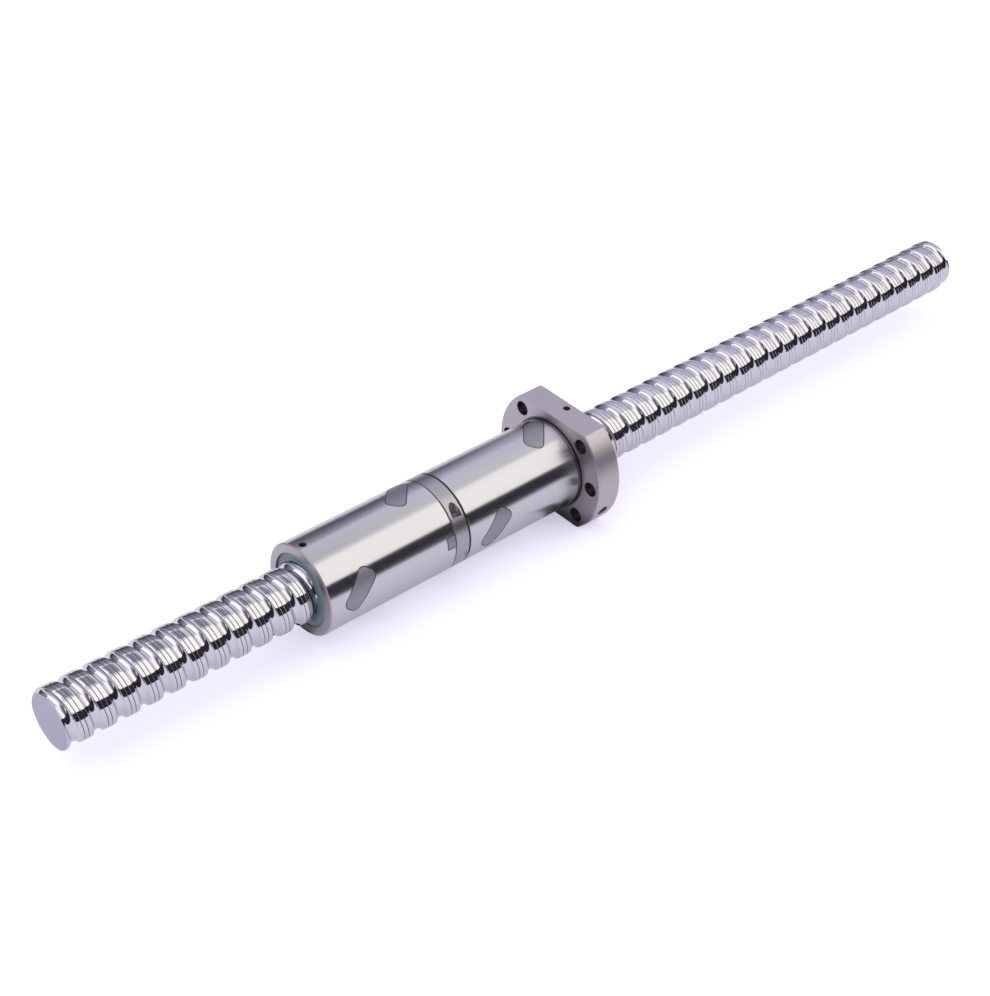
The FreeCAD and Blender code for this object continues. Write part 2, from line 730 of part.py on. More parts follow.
for item in doc.Objects:
    if "Invalid" in item.State or "Error" in item.State:
        raise RuntimeError("%s is not computed: %s" % (item.Label, item.State))
for item in nodes:
    if item.Shape.isNull() or not item.Shape.isValid():
        raise RuntimeError("%s has no valid shape" % item.Label)

os.makedirs("parts", exist_ok=True)
for item in nodes:
    item.Shape.exportStep("parts/%s.step" % item.Label)
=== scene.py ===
# %% [markdown]
# # A ball screw with a preloaded double nut
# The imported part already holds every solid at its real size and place. This lesson dresses it:
# a finer thread for the screw, lips for its wipers, a finish for each kind of steel, and a small
# white studio.

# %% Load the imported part
import math

import bmesh
import bpy
import numpy as np
from mathutils import Matrix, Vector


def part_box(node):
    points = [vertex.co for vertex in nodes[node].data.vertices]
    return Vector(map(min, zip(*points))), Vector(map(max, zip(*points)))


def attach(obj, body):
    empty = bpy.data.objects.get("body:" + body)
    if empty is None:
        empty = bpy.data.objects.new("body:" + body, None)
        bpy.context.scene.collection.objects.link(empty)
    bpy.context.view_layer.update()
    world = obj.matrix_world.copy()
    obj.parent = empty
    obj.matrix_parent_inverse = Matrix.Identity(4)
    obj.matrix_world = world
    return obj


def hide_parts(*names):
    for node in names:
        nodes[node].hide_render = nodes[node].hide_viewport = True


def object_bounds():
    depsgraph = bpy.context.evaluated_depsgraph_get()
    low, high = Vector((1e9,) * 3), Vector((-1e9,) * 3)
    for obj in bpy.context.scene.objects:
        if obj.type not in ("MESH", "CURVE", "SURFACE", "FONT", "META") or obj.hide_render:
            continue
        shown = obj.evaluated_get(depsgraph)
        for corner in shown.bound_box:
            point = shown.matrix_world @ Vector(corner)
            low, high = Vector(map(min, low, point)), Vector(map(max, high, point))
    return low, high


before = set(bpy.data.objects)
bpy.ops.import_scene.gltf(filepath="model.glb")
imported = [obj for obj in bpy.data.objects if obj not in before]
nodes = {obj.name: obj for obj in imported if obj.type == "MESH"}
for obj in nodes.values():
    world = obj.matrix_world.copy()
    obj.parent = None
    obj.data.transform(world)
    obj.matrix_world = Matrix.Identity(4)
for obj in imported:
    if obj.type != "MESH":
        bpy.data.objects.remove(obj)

MM = 0.001
cad_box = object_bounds()

# %% [markdown]
# ## The camera
# The photograph was fitted with the known lead of the thread as its ruler, which gives the
# camera's place, its three axes and a focal length in pixels. The image is 990 by 996 pixels,
# so the long side is its height, and the lens follows from a 36 mm sensor along that side.

# %% Camera at the photograph's place
camera_place = np.array([-479.507, -479.235, 504.645]) * MM
camera_right = np.array([0.74656619, -0.66451176, 0.03260441])
camera_up = np.array([0.38847285, 0.47517827, 0.78949000])
camera_back = np.array([-0.54011829, -0.57674061, 0.61289680])
focal_px = 1974.987
long_side_px = 996
sensor_mm = 36.0

camera_data = bpy.data.cameras.new("photo_camera")
camera_data.sensor_width = sensor_mm
camera_data.lens = focal_px / long_side_px * sensor_mm
camera_data.clip_start = 0.01
camera_data.clip_end = 50.0
camera = bpy.data.objects.new("photo_camera", camera_data)
pose = np.eye(4)
pose[:3, :] = np.column_stack([camera_right, camera_up, camera_back, camera_place])
camera.matrix_world = Matrix(pose.tolist())
bpy.context.scene.collection.objects.link(camera)
bpy.context.scene.camera = camera
bpy.context.scene.view_settings.view_transform = "Standard"
print("lens %.2f mm" % camera_data.lens)

# %% [markdown]
# ## Small helpers for materials
# One function turns a colour as it is written on a paint card, an sRGB hex value, into the
# linear numbers that shaders use. Another adds a node, sets it up and links it, so a material
# reads as a short list. The others start a material and put it on a piece of the part.

# %% Colour and node helpers


def linear(code, alpha=1.0):
    """sRGB hex to linear RGBA: divide by 12.92 near black, else the 2.4 power curve."""
    srgb = np.array([int(code[i:i + 2], 16) for i in (1, 3, 5)]) / 255.0
    rgb = np.where(srgb <= 0.04045, srgb / 12.92, ((srgb + 0.055) / 1.055) ** 2.4)
    return (*rgb.tolist(), alpha)


def add(tree, kind, inputs=None, **settings):
    """Add one node; inputs are numbers, colours or the sockets that feed it."""
    made = tree.nodes.new(kind)
    for name, value in settings.items():
        setattr(made, name, value)
    for name, value in (inputs or {}).items():
        if isinstance(value, bpy.types.NodeSocket):
            tree.links.new(value, made.inputs[name])
        else:
            made.inputs[name].default_value = value
    return made


def empty_material(name):
    """Material without any nodes; returns it with its tree."""
    material = bpy.data.materials.new(name)
    material.use_nodes = True
    material.node_tree.nodes.clear()
    return material, material.node_tree


def new_material(name):
    """Material with its shader and output joined; returns material, tree and shader."""
    material, tree = empty_material(name)
    shader = add(tree, "ShaderNodeBsdfPrincipled")
    add(tree, "ShaderNodeOutputMaterial", {"Surface": shader.outputs["BSDF"]})
    return material, tree, shader


def wear_node(name, material):
    """Give a CAD node its finished material in every slot."""
    for place in nodes[name].material_slots:
        place.material = material


print("white is", linear("#ffffff")[:3])

# %% [markdown]
# ## Turned and ground steel
# The nuts, the ring and the flange were turned, and the barrels were ground after that, so fine
# lines run round the screw's axis on barrels and faces alike. A pattern along one of the plain
# axes can't follow that. It reads two numbers instead: the place along the axis, and the
# distance from it. Where both are equal lies a circle round the screw, as a tool leaves it.

# %% Lines round the screw's axis
# Most of a noise node's values lie in the narrow range, which gives crisp changes. The wide
# range gives soft ones.
crisp_low = 0.35
crisp_high = 0.65
soft_low = 0.30
soft_high = 0.70


def turned_lines(tree, line_mm):
    """Noise that is constant on circles about X; returns it with the place and the radius.

    radius = length of (y, z). The noise reads (x, radius) and has one wave in line_mm.
    """
    place = add(tree, "ShaderNodeTexCoord").outputs["Object"]
    along = add(tree, "ShaderNodeSeparateXYZ", {"Vector": place}).outputs
    flat = add(tree, "ShaderNodeCombineXYZ", {"Y": along["Y"], "Z": along["Z"]})
    reach = add(tree, "ShaderNodeVectorMath", {0: flat.outputs[0]}, operation="LENGTH")
    radius = reach.outputs["Value"]
    rings = add(tree, "ShaderNodeCombineXYZ", {"X": along["X"], "Y": radius})
    lines = add(
        tree, "ShaderNodeTexNoise",
        {"Vector": rings.outputs[0], "Scale": 1 / (line_mm * MM), "Detail": 2.0},
    )
    return lines.outputs["Fac"], along, radius


print("noise from %.2f to %.2f" % (crisp_low, crisp_high))

# %% Shade in the joints
# Steel is painted nearly black where another surface stands close: painted shade in a joint or a
# corner.
corner_reach = 0.9 * MM
corner_shade_colour = linear("#1b1a1d")
crowded_at = 0.35
clear_at = 0.85


def painted_corner_shade(tree, tint):
    """Painted shade: the tint darkens where other surfaces stand within corner_reach."""
    crowded = add(tree, "ShaderNodeAmbientOcclusion", {"Distance": corner_reach}, samples=8)
    clear = add(
        tree, "ShaderNodeMapRange",
        {"Value": crowded.outputs["AO"], "From Min": crowded_at, "From Max": clear_at},
    )
    shade = add(
        tree, "ShaderNodeMix", {0: clear.outputs["Result"], 6: corner_shade_colour, 7: tint},
        data_type="RGBA",
    )
    return shade.outputs[2]


print("corners darken within %.1f mm" % (corner_reach / MM))

# %% Satin turned steel for the ring
# Mild steel ring, turned and left satin: a soft, even grey that hardly mirrors. Real tool lines
# lie closer together, and these are 0.2 mm apart so that they show.
turning_mm = 0.20
turning_lift = 0.0015 * MM
ring_steel, tree, shader = new_material("satin_turned_steel")
lines = turned_lines(tree, turning_mm)[0]
rough = add(
    tree, "ShaderNodeMapRange",
    {"Value": lines, "From Min": crisp_low, "From Max": crisp_high, "To Min": 0.26, "To Max": 0.36},
)
bump = add(tree, "ShaderNodeBump", {"Height": lines, "Strength": 1.0, "Distance": turning_lift})
# The ring's colour gets painted shade in its corners.
tree.links.new(painted_corner_shade(tree, linear("#a9a7ab")), shader.inputs["Base Color"])
shader.inputs["Metallic"].default_value = 1.0
tree.links.new(rough.outputs["Result"], shader.inputs["Roughness"])
tree.links.new(bump.outputs["Normal"], shader.inputs["Normal"])
wear_node("spacer_ring", ring_steel)
print("ring:", ring_steel.name)

# %% [markdown]
# ## The nuts
# A nut is one piece with two finishes. Its barrel is ground almost to a mirror, while the flange and
# the end face are left satin from the lathe, a darker and warmer grey. The bolt holes are drilled, and
# the shade inside them is painted dark. One material can hold all three, because the place along the
# axis says where the barrel ends, and the distance from a bolt's middle says where a hole is.

# %% Where the barrel ends and where the holes are
flange_from = -0.05 * MM
end_chamfer = 0.55 * MM
end_face_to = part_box("plain_nut")[0][0] + end_chamfer
relief_radius = 20.85 * MM
relief_face_x = 0.3 * MM
relief_face_band = 0.2 * MM
bolt_circle = 51 / 2 * MM
hole_reach = (6.6 / 2 + 0.02) * MM
holes_beyond = 10 * MM
eighth_turn = math.pi / 4


def drilled_mask(tree, along, radius):
    """1 inside the six bolt holes, else 0.

    The angle about X is folded into one eighth of a turn about the nearest hole. The distance
    from that hole's middle then follows from the cosine rule: d2 = r2 + c2 - 2 r c cos(fold).
    Holes lie only where y is far from zero, because the flats take the other two places.
    """
    angle = add(tree, "ShaderNodeMath", {0: along["Y"], 1: along["Z"]}, operation="ARCTAN2")
    fold = add(
        tree, "ShaderNodeMath",
        {0: angle.outputs[0], 1: eighth_turn / 2, 2: -eighth_turn / 2}, operation="WRAP",
    )
    cosine = add(tree, "ShaderNodeMath", {0: fold.outputs[0]}, operation="COSINE")
    reach = add(tree, "ShaderNodeMath", {0: radius, 1: cosine.outputs[0]}, operation="MULTIPLY")
    square = add(tree, "ShaderNodeMath", {0: radius, 1: 2.0}, operation="POWER")
    total = add(
        tree, "ShaderNodeMath",
        {0: reach.outputs[0], 1: -2 * bolt_circle, 2: square.outputs[0]}, operation="MULTIPLY_ADD",
    )
    inside = add(
        tree, "ShaderNodeMath",
        {0: total.outputs[0], 1: hole_reach ** 2 - bolt_circle ** 2}, operation="LESS_THAN",
    )
    aside = add(tree, "ShaderNodeMath", {0: along["Y"]}, operation="ABSOLUTE")
    beside = add(
        tree, "ShaderNodeMath", {0: aside.outputs[0], 1: holes_beyond}, operation="GREATER_THAN"
    )
    both = add(
        tree, "ShaderNodeMath", {0: inside.outputs[0], 1: beside.outputs[0]}, operation="MINIMUM"
    )
    return both.outputs[0]


print("flange from x = %.2f mm" % (flange_from / MM))

# %% Bearing steel: where it is satin and where it is dark
# Grinding lines are far finer than 0.22 mm. They are drawn this coarse so that they show.
grinding_mm = 0.22
nut_steel, tree, shader = new_material("ground_bearing_steel")
lines, along, radius = turned_lines(tree, grinding_mm)
on_flange = add(tree, "ShaderNodeMath", {0: along["X"], 1: flange_from}, operation="GREATER_THAN")
on_end = add(tree, "ShaderNodeMath", {0: along["X"], 1: end_face_to}, operation="LESS_THAN")
satin = add(
    tree, "ShaderNodeMath", {0: on_flange.outputs[0], 1: on_end.outputs[0]}, operation="MAXIMUM"
)
drilled = drilled_mask(tree, along, radius)
# The relief turned where barrel and flange meet has its recessed face painted dark: a painted shadow.
in_relief = add(tree, "ShaderNodeMath", {0: radius, 1: relief_radius}, operation="LESS_THAN")
relief_face = add(
    tree, "ShaderNodeMath", {0: along["X"], 1: relief_face_x, 2: relief_face_band}, operation="COMPARE"
)
relief = add(
    tree, "ShaderNodeMath", {0: in_relief.outputs[0], 1: relief_face.outputs[0]}, operation="MINIMUM"
)
dark = add(tree, "ShaderNodeMath", {0: drilled, 1: relief.outputs[0]}, operation="MAXIMUM")
print("satin, drilled and relief masks ready")

# %% Bearing steel: colour and roughness
# Ground steel is bright and cool, lathe-turned steel greyer and warmer. The drilled walls and the
# relief's face are painted dark as shade.
turned_tint = add(
    tree, "ShaderNodeMix", {0: satin.outputs[0], 6: linear("#c5c4c7"), 7: linear("#bab5b8")},
    data_type="RGBA",
)
# Painted shade: inside the bolt holes and on the relief's face the colour is painted dark.
tint = add(
    tree, "ShaderNodeMix", {0: dark.outputs[0], 6: turned_tint.outputs[2], 7: linear("#77747a")},
    data_type="RGBA",
)
ground_rough = add(
    tree, "ShaderNodeMapRange",
    {"Value": lines, "From Min": crisp_low, "From Max": crisp_high, "To Min": 0.20, "To Max": 0.26},
)
satin_rough = add(
    tree, "ShaderNodeMapRange",
    {"Value": lines, "From Min": crisp_low, "From Max": crisp_high, "To Min": 0.36, "To Max": 0.46},
)
rough = add(
    tree, "ShaderNodeMix",
    {0: satin.outputs[0], 2: ground_rough.outputs["Result"], 3: satin_rough.outputs["Result"]},
)
grinding_lift = 0.0003 * MM
bump = add(tree, "ShaderNodeBump", {"Height": lines, "Strength": 1.0, "Distance": grinding_lift})
# The nut's colour gets painted shade in its corners.
tree.links.new(painted_corner_shade(tree, tint.outputs[2]), shader.inputs["Base Color"])
shader.inputs["Metallic"].default_value = 1.0
tree.links.new(rough.outputs[0], shader.inputs["Roughness"])
tree.links.new(bump.outputs["Normal"], shader.inputs["Normal"])
print("lines lift %.4f mm" % (grinding_lift / MM))

# %% Bearing steel: smeared reflections
# Grinding lines run round the axis, so the barrel's reflections are smeared along it. The
# tangent runs round the axis too, and a quarter turn sets the smear across it.
barrel_smear = 0.90
quarter_turn = 0.25
round_axis = add(tree, "ShaderNodeTangent", direction_type="RADIAL", axis="X")
tree.links.new(round_axis.outputs[0], shader.inputs["Tangent"])
smear = add(
    tree, "ShaderNodeMapRange", {"Value": satin.outputs[0], "To Min": barrel_smear, "To Max": 0.0}
)
tree.links.new(smear.outputs["Result"], shader.inputs["Anisotropic"])
shader.inputs["Anisotropic Rotation"].default_value = quarter_turn
for name in ("plain_nut", "flange_nut"):
    wear_node(name, nut_steel)
print("nuts:", nut_steel.name)

# %% [markdown]
# ## The small steel pieces
# The return caps are sintered from powder: grey, matte and faintly grainy. The keys are sawn
# bar. The grub screws are black oxide, and the balls are polished to a mirror. All four are an
# even grain without direction, so one function makes them. A real powder grain is about a tenth
# of a millimetre, and it is drawn some four times as coarse, so that it shows.

# %% Steel with an even grain


def grained_steel(name, colour, dark, rough_low, rough_high, grain_mm, lift_mm):
    """Steel with a fine even grain of grain_mm that varies its colour and roughness."""
    material, tree, shader = new_material(name)
    place = add(tree, "ShaderNodeTexCoord").outputs["Object"]
    grain = add(
        tree, "ShaderNodeTexNoise",
        {"Vector": place, "Scale": 1 / (grain_mm * MM), "Detail": 4.0, "Roughness": 0.6},
    ).outputs["Fac"]
    tint = add(tree, "ShaderNodeValToRGB", {"Fac": grain})
    tint.color_ramp.elements[0].position = crisp_low
    tint.color_ramp.elements[0].color = linear(dark)
    tint.color_ramp.elements[1].position = crisp_high
    tint.color_ramp.elements[1].color = linear(colour)
    rough = add(
        tree, "ShaderNodeMapRange",
        {"Value": grain, "From Min": soft_low, "From Max": soft_high,
         "To Min": rough_low, "To Max": rough_high},
    )
    bump = add(
        tree, "ShaderNodeBump", {"Height": grain, "Strength": 1.0, "Distance": lift_mm * MM}
    )
    # The colour gets painted shade in the corners round each small piece.
    tree.links.new(painted_corner_shade(tree, tint.outputs["Color"]), shader.inputs["Base Color"])
    shader.inputs["Metallic"].default_value = 1.0
    tree.links.new(rough.outputs["Result"], shader.inputs["Roughness"])
    tree.links.new(bump.outputs["Normal"], shader.inputs["Normal"])
    return material


# Name, colour, its darker grain, roughness from and to, and the grain's size and height in mm.
cap_steel = grained_steel("sintered_steel", "#a4a3ab", "#939299", 0.42, 0.55, 0.4, 0.004)
key_steel = grained_steel("sawn_key_steel", "#a3a2a8", "#8a898f", 0.35, 0.50, 0.5, 0.006)
grub_steel = grained_steel("black_oxide_steel", "#2b2b2e", "#1f1f22", 0.35, 0.45, 0.3, 0.002)
ball_steel = grained_steel("polished_ball_steel", "#d2d2d6", "#cfcfd3", 0.03, 0.06, 0.6, 0.0002)
print("four grained steels")

# %% Dress the caps, keys, grub screws and balls
for name in nodes:
    if "_cap_" in name:
        wear_node(name, cap_steel)
    elif name.endswith("_key"):
        wear_node(name, key_steel)
    elif name.endswith("_wiper_screw"):
        wear_node(name, grub_steel)
    elif name.startswith("ball_circuit"):
        wear_node(name, ball_steel)
print("small pieces dressed")

# %% [markdown]
# ## Painted shade in the joints
# Each cap and key sits in the nut with a hair's gap round it, and the ring meets both nuts in a
# shallow V. The shade in these gaps is painted as thin, nearly black lines that draw every outline on
# the bright barrel. A line is a flat bead: an ellipse carried along the middle of the gap.

# %% Where the gaps run
barrel_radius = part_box("plain_nut")[1][2] / MM
half_gap = 0.125
corner_points = 64
outline_points = 120
circle_points = 180


def gap_outline(length, width, corner):
    """Flat rounded rectangle at equal steps: four corner circles, joined by straight sides."""
    turn = (np.arange(corner_points) + 0.5) * 2 * math.pi / corner_points
    outer = corner + half_gap
    x = np.sign(np.cos(turn)) * (length / 2 - corner) + outer * np.cos(turn)
    y = np.sign(np.sin(turn)) * (width / 2 - corner) + outer * np.sin(turn)
    x = np.append(x, x[0])
    y = np.append(y, y[0])
    passed = np.append(0.0, np.cumsum(np.hypot(np.diff(x), np.diff(y))))
    step = np.linspace(0.0, passed[-1], outline_points, endpoint=False)
    return np.interp(step, passed, x), np.interp(step, passed, y)


def on_barrel(outline, slant, middle_x, angle):
    """Flat outline turned by slant, bent on by z = sqrt(radius2 - y2), and turned about X."""
    u, v = outline
    x = u * math.cos(slant) - v * math.sin(slant)
    y = u * math.sin(slant) + v * math.cos(slant)
    z = np.sqrt(barrel_radius ** 2 - y ** 2)
    across = y * math.cos(angle) - z * math.sin(angle)
    upward = y * math.sin(angle) + z * math.cos(angle)
    return np.stack([middle_x + x, across, upward], axis=-1)


def ring_line(x, radius):
    """Circle about X at the place x: (x, -radius sin a, radius cos a)."""
    a = np.linspace(0.0, 2 * math.pi, circle_points, endpoint=False)
    return np.stack([np.full(circle_points, x), -radius * np.sin(a), radius * np.cos(a)], axis=-1)


print("barrel radius %.2f mm" % barrel_radius)

# %% Painted shade for the gaps
# The painted shade is nearly black and half dull, and its roughness is never quite even.
blotch_size = 0.8 * MM
gap_shade_paint, tree, shader = new_material("gap_shade_paint")
place = add(tree, "ShaderNodeTexCoord").outputs["Object"]
blotch = add(tree, "ShaderNodeTexNoise", {"Vector": place, "Scale": 1 / blotch_size, "Detail": 2.0})
rough = add(
    tree, "ShaderNodeMapRange", {"Value": blotch.outputs["Fac"], "To Min": 0.35, "To Max": 0.65}
)
shader.inputs["Base Color"].default_value = linear("#2b2a2e")
tree.links.new(rough.outputs["Result"], shader.inputs["Roughness"])
print("bead material:", gap_shade_paint.name)

# %% A ring-shaped piece, and a bead
gap_bead_width = 0.21
bead_half_height = 0.05
bead_points = 8


def ring_piece(name, points, material):
    """Piece on the nut from a grid of points in mm that closes on itself in both directions.

    Each face joins a point, the one ahead of it, the one beside that, and the one beside itself.
    """
    numbers = np.arange(points.size // 3).reshape(points.shape[:2])
    ahead = np.roll(numbers, -1, axis=0)
    quads = np.stack(
        [numbers, ahead, np.roll(ahead, -1, axis=1), np.roll(numbers, -1, axis=1)], axis=-1
    )
    mesh = bpy.data.meshes.new(name)
    mesh.from_pydata((points.reshape(-1, 3) * MM).tolist(), [], quads.reshape(-1, 4).tolist())
    shell = bmesh.new()
    shell.from_mesh(mesh)
    bmesh.ops.recalc_face_normals(shell, faces=shell.faces)
    shell.to_mesh(mesh)
    shell.free()
    mesh.polygons.foreach_set("use_smooth", np.ones(len(mesh.polygons), dtype=bool))
    mesh.materials.append(material)
    piece = bpy.data.objects.new(name, mesh)
    bpy.context.scene.collection.objects.link(piece)
    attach(piece, "nut")
    return piece


def shade_bead(name, line, half_width=gap_bead_width):
    """Ellipse carried along a closed line; it lies in the line's side and outward directions."""
    ahead = np.roll(line, -1, axis=0) - np.roll(line, 1, axis=0)
    ahead = ahead / np.linalg.norm(ahead, axis=1, keepdims=True)
    outward = line * np.array([0.0, 1.0, 1.0])
    outward = outward / np.linalg.norm(outward, axis=1, keepdims=True)
    side = np.cross(ahead, outward)
    phase = np.linspace(0.0, 2 * math.pi, bead_points, endpoint=False)[None, :, None]
    wide = half_width * np.cos(phase) * side[:, None]
    tall = bead_half_height * np.sin(phase) * outward[:, None]
    return ring_piece(name, line[:, None] + wide + tall, gap_shade_paint)


print("a bead is %.2f mm wide" % (2 * gap_bead_width))

# %% Beads round the caps
# A bead of painted shade runs in the gap round each cap.
cap_length = 17.6
cap_width = 8.2
cap_corner = 2.8
cap_slant = math.radians(47.5)
first_cap_angles = (("plain_nut", 76), ("flange_nut", 90))
cap_outline = gap_outline(cap_length, cap_width, cap_corner)
for nut, first_angle in first_cap_angles:
    for number in (1, 2, 3, 4):
        cap = "%s_cap_%d" % (nut, number)
        low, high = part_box(cap)
        angle = math.radians(first_angle + 90 * (number - 1))
        middle_x = (low[0] + high[0]) / 2 / MM
        shade_bead(cap + "_gap", on_barrel(cap_outline, cap_slant, middle_x, angle))
print("caps outlined on", len(first_cap_angles), "nuts")

# %% Beads round the keys
# A bead of painted shade runs in the gap round each key.
key_length = 4.0
key_width = 5.2
key_corner = 0.2
key_outline = gap_outline(key_length, key_width, key_corner)
ring_low, ring_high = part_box("spacer_ring")
joints_x = (ring_low[0] / MM, ring_high[0] / MM)
key_places = (
    ("plain_nut_key", joints_x[0] - key_length / 2, 77),
    ("flange_nut_key", joints_x[1] + key_length / 2, 257),
)
for key, middle_x, angle in key_places:
    shade_bead(key + "_gap", on_barrel(key_outline, 0.0, middle_x, math.radians(angle)))
print("keys outlined:", len(key_places))

# %% Beads in the ring's joints and in the flange's relief
# Painted shade: beads in the ring's two joints and in the flange's relief.
joint_depth = 0.14
joint_radius = barrel_radius - joint_depth
joint_width = 0.27
relief_depth = 0.4
relief_floor = barrel_radius - relief_depth
relief_x = -1.45
relief_width = 0.30
shade_bead("front_joint_gap", ring_line(joints_x[0], joint_radius), joint_width)
shade_bead("rear_joint_gap", ring_line(joints_x[1], joint_radius), joint_width)
shade_bead("relief_gap", ring_line(relief_x, relief_floor), relief_width)
print("joints at x = %.1f and %.1f mm" % joints_x)

# %% [markdown]
# ## The wiper rings
# Each end of the double nut is closed by a moulded plastic ring that scrapes the thread clean.
# Its outer part is a dull grey shoulder. The lip at the screw is a glossy blue-green, and the
# bright screw beside it throws that colour back. Both are one moulding, so one material changes
# from the one to the other with the distance from the axis.

# %% Moulded acetal
lip_radius = 13.5 * MM
lip_blend = 0.6 * MM
ripple_mm = 1.2
ripple_lift = 0.004 * MM
wiper_plastic, tree, shader = new_material("moulded_acetal")
ripple, _, radius = turned_lines(tree, ripple_mm)
on_lip = add(
    tree, "ShaderNodeMapRange",
    {"Value": radius, "From Min": lip_radius + lip_blend, "From Max": lip_radius},
)
tint = add(
    tree, "ShaderNodeMix", {0: on_lip.outputs["Result"], 6: linear("#8e939b"), 7: linear("#5a7780")},
    data_type="RGBA",
)
rough = add(
    tree, "ShaderNodeMapRange", {"Value": on_lip.outputs["Result"], "To Min": 0.42, "To Max": 0.16}
)
bump = add(tree, "ShaderNodeBump", {"Height": ripple, "Distance": ripple_lift})
tree.links.new(tint.outputs[2], shader.inputs["Base Color"])
tree.links.new(rough.outputs["Result"], shader.inputs["Roughness"])
tree.links.new(bump.outputs["Normal"], shader.inputs["Normal"])
shader.inputs["IOR"].default_value = 1.48
for name in ("front_wiper", "rear_wiper"):
    wear_node(name, wiper_plastic)
print("wipers dressed")

# %% [markdown]
# ## The screw's thread
# A ball thread is a groove of pointed-arch section that winds round the shaft, with rounded
# edges. Rolling presses the metal up out of the groove, so each land is a little crowned, and two
# fine seams run along it where the metal met.
# In the works a long bar is rolled and then sawn to length. The same is done here: one section
# of the thread is carried round and round for a little more than the whole length, which puts
# the mesh's edges along the thread and along the axis, and both ends are cut off flat.

# %% Sizes of the thread
lead = 10.0
land_radius = 12.4
ball_path_radius = 13.3
ball_diameter = 4.762
ball_clearance = 0.12
ball_room = ball_diameter / 2 + ball_clearance
arch_offset = 0.15
edge_round = 0.40
crown = 0.10
groove_at_top = 4.239
seam_places = (-1.1, 0.7)
seam_half_width = 0.18
seam_depth = 0.22
seam_guard = 0.03
low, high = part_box("screw_shaft")
start_x = low[0] / MM
end_x = high[0] / MM
print("thread from %.1f to %.1f mm" % (start_x, end_x))

# %% The groove's section
flank_points = 8
edge_points = 5


def thread_section():
    """Offsets u over one lead, from one groove's floor to the next, and the radius at each.

    A flank is a circle about a centre that is arch_offset beyond the groove's middle and above
    the balls' path. Its edge is a circle of edge_round that touches the flank and runs into the
    land. The land is a shallow parabola that falls by crown from its middle to its edges. A seam
    is a V with a point close beside it, which keeps the land's shading even up to the V.
    """
    flank = ball_room + arch_offset * math.sqrt(2)
    centre_r = ball_path_radius + arch_offset
    edge_r = land_radius - crown
    drop = centre_r - (edge_r - edge_round)
    round_u = math.sqrt((flank + edge_round) ** 2 - drop ** 2) - arch_offset
    touch = (round_u + arch_offset) * flank / (flank + edge_round) - arch_offset
    groove_u = touch * np.sin(np.linspace(0.0, math.pi / 2, flank_points))
    groove_r = centre_r - np.sqrt(flank ** 2 - (groove_u + arch_offset) ** 2)
    slope = math.atan(2 * crown / (lead / 2 - round_u))
    bend = np.linspace(math.atan2(round_u + arch_offset, drop), slope, edge_points)[1:]
    rise_u = np.concatenate([groove_u, round_u - edge_round * np.sin(bend)])
    rise_r = np.concatenate([groove_r, edge_r - edge_round * (1 - np.cos(bend))])
    across = np.array([-1, 0, 1]) * seam_half_width
    guarded = np.concatenate([across[:1] - seam_guard, across, across[-1:] + seam_guard])
    seams = lead / 2 + np.array(seam_places)[:, None] + guarded[None, :]
    stops = np.concatenate([rise_u[-1:], seams[:, [0, -1]].ravel(), lead - rise_u[-1:]])
    between = stops.reshape(-1, 2).mean(axis=1)
    land_u = np.sort(np.concatenate([seams.ravel(), between]))
    land_r = land_radius - crown * ((land_u - lead / 2) / (lead / 2 - rise_u[-1])) ** 2
    land_r = land_r - seam_depth * np.isin(land_u, seams[:, 2])
    u = np.concatenate([rise_u, land_u, lead - rise_u[:0:-1]])
    radius = np.concatenate([rise_r, land_r, rise_r[:0:-1]])
    return u, radius


section_u, section_r = thread_section()
print("section points:", len(section_u), "root %.2f mm" % section_r.min())

# %% Carry the section round the axis
steps_per_turn = 50


def rolled_thread():
    """Points in mm by turn t and by offset u: x = groove_at_top + lead t + u, angle = 2 pi t.

    The angle counts from Z about X, and the radius is the section's radius for u. The turns run
    from before the start to one turn past the end, because a turn's last column is joined to the
    first column of the turn after it.
    """
    first_turn = math.floor((start_x - groove_at_top) / lead) - 1
    last_turn = math.ceil((end_x - groove_at_top) / lead) + 1
    t = np.arange(first_turn * steps_per_turn, last_turn * steps_per_turn + 2) / steps_per_turn
    x = groove_at_top + lead * t[:, None] + section_u[None, :]
    angle = np.broadcast_to(2 * math.pi * t[:, None], x.shape)
    return np.stack([x, -section_r * np.sin(angle), section_r * np.cos(angle)], axis=-1)


grid = rolled_thread()
rows, columns = grid.shape[:2]
numbers = np.arange(rows * columns).reshape(rows, columns)
near = numbers[:-steps_per_turn]
far = np.concatenate([near[:, 1:], numbers[steps_per_turn:, :1]], axis=1)
quads = np.stack([near[:-1], far[:-1], far[1:], near[1:]], axis=-1).reshape(-1, 4)
print("thread grid:", rows, "by", columns)

# %% Make the mesh, and a map that unrolls the thread
thread_mesh = bpy.data.meshes.new("screw_thread")
thread_mesh.from_pydata(grid.reshape(-1, 3).tolist(), [], quads.tolist())

# U runs across the section and V along the helix, both in metres.
closed_u = np.append(section_u, lead)
closed_r = np.append(section_r, section_r[0])
across = np.append(0.0, np.cumsum(np.hypot(np.diff(closed_u), np.diff(closed_r)))) * MM
turn_length = math.hypot(lead, 2 * math.pi * land_radius)
along = np.arange(len(near)) / steps_per_turn * turn_length * MM
corner_u = np.stack([across[:-1], across[1:], across[1:], across[:-1]], axis=-1)
corner_v = np.stack([along[:-1], along[:-1], along[1:], along[1:]], axis=-1)
whole = (len(near) - 1, columns, 4)
unrolled = np.stack(
    [np.broadcast_to(corner_u[None], whole), np.broadcast_to(corner_v[:, None], whole)], axis=-1
)
thread_mesh.uv_layers.new(name="unrolled")
thread_mesh.uv_layers["unrolled"].data.foreach_set("uv", unrolled.ravel())
print("rolled quads:", len(quads))

